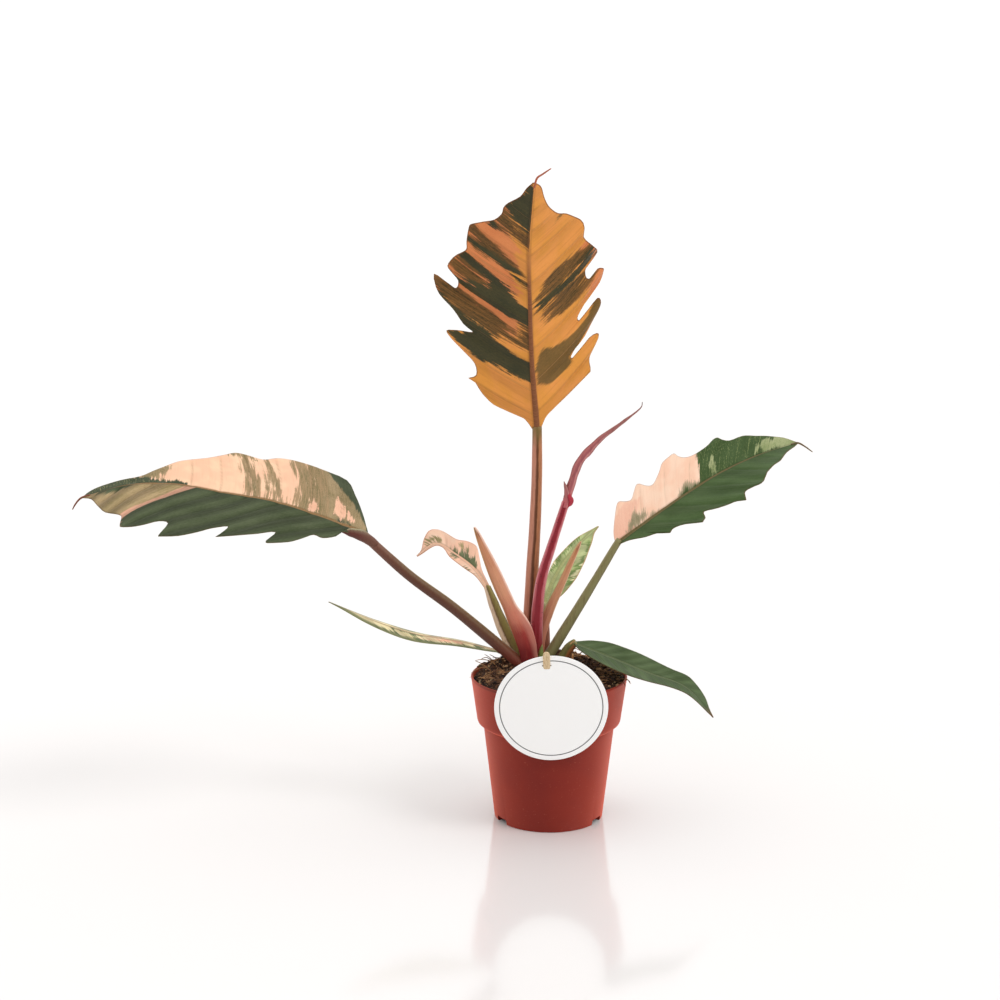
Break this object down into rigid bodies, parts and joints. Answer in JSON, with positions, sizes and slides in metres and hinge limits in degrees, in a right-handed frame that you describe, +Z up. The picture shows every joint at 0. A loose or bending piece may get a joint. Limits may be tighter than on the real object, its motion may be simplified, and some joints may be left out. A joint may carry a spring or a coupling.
{
  "type": "potted philodendron plant",
  "caption": "Potted aroid house plant with long-stalked, toothed, pink, orange and green leaves, a rolled new leaf and a blank round label card, in a terracotta-red plastic pot.",
  "frame": {"origin": "on the pot's axis, in the plane that the pot stands on", "axes": "+Z up, +X to the right as seen from the front, +Y away from the front, where the label card leans"},
  "size_m": [0.5647, 0.18, 0.4934],
  "materials": {
    "pot_plastic": "satin",
    "soil": "matte",
    "stem": "satin",
    "card": "matte",
    "stick_wood": "matte",
    "leaf_tall": "satin",
    "stalk_tall": "satin",
    "leaf_left": "satin",
    "stalk_left": "satin",
    "leaf_right": "satin",
    "stalk_right": "satin",
    "leaf_back_left": "satin",
    "stalk_back_left": "satin",
    "leaf_back_right": "satin",
    "stalk_back_right": "satin",
    "leaf_low_left": "satin",
    "stalk_low_left": "satin",
    "leaf_low_right": "satin",
    "stalk_low_right": "satin",
    "leaf_new": "satin",
    "stalk_new": "satin",
    "sheath_large": "satin",
    "sheath_small": "satin",
    "stalk_green": "satin"
  },
  "bodies": {
    "root": {"pot": "pot_plastic", "soil": "soil", "crown": "stem", "label_card": "card", "label_stick": "stick_wood", "blade_tall": "leaf_tall", "petiole_tall": "stalk_tall", "blade_left": "leaf_left", "petiole_left": "stalk_left", "blade_right": "leaf_right", "petiole_right": "stalk_right", "blade_back_left": "leaf_back_left", "petiole_back_left": "stalk_back_left", "blade_back_right": "leaf_back_right", "petiole_back_right": "stalk_back_right", "blade_low_left": "leaf_low_left", "petiole_low_left": "stalk_low_left", "blade_low_right": "leaf_low_right", "petiole_low_right": "stalk_low_right", "blade_new": "leaf_new", "petiole_new": "stalk_new", "sheath_large": "sheath_large", "sheath_small": "sheath_small", "stub_green": "stalk_green"}
  },
  "joints": []
}
